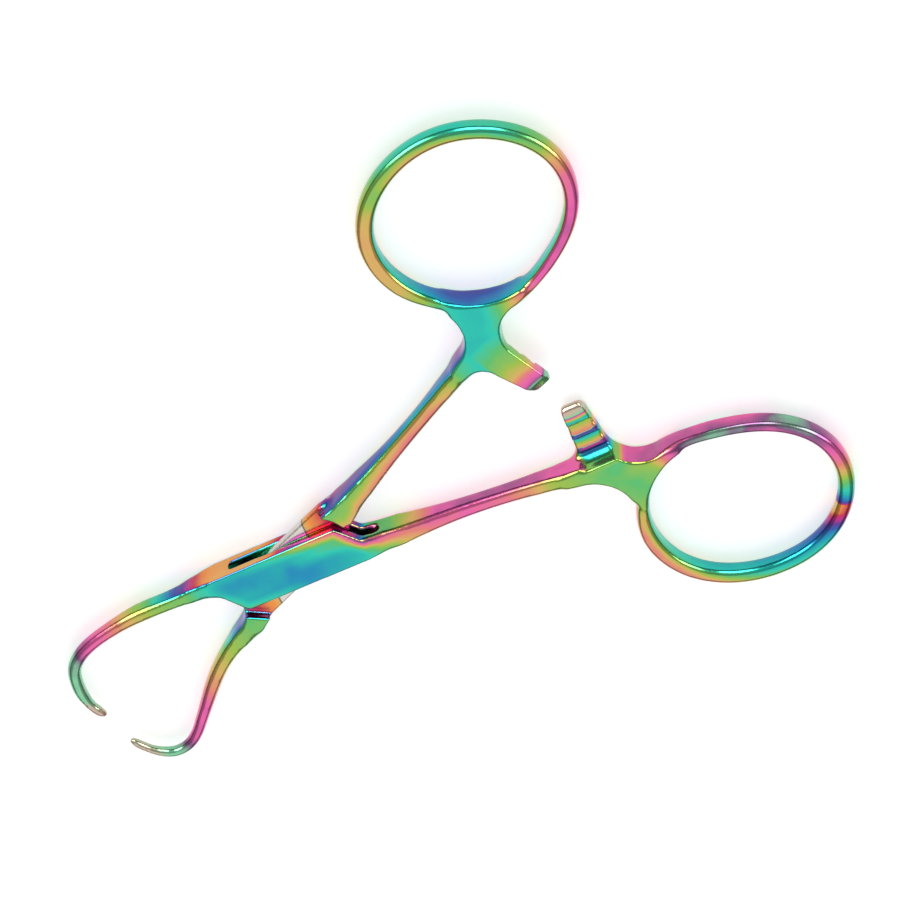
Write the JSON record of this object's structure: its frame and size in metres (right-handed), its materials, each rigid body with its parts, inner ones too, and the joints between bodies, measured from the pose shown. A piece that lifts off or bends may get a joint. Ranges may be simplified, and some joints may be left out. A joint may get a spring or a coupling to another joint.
{
  "type": "surgical towel clamp",
  "caption": "Small steel towel clamp with finger rings, a ratchet, a box lock and hooked jaws, coated in heat-tint rainbow colours.",
  "frame": {"origin": "on the axis of the joint pin, at the underside of the box that the clamp rests on", "axes": "+Z along the pin and up out of the resting face, +X along the straight box of the box half from the hooks towards the finger rings, +Y towards the inner half's ring"},
  "size_m": [0.0946, 0.0723, 0.0035],
  "materials": {
    "coated_steel": "polished, with a rainbow coating",
    "pin_steel": "ground flush and coated with the halves"
  },
  "bodies": {
    "box_side": {"box_half": "coated_steel", "joint_pin": "pin_steel"},
    "inner_side": {"inner_half": "coated_steel"}
  },
  "joints": [
    {"name": "box_pivot", "type": "hinge", "parent": "box_side", "child": "inner_side", "pos_m": [0, 0, 0.00175], "axis": [0, 0, 1], "range_deg": [-8, 45]}
  ]
}
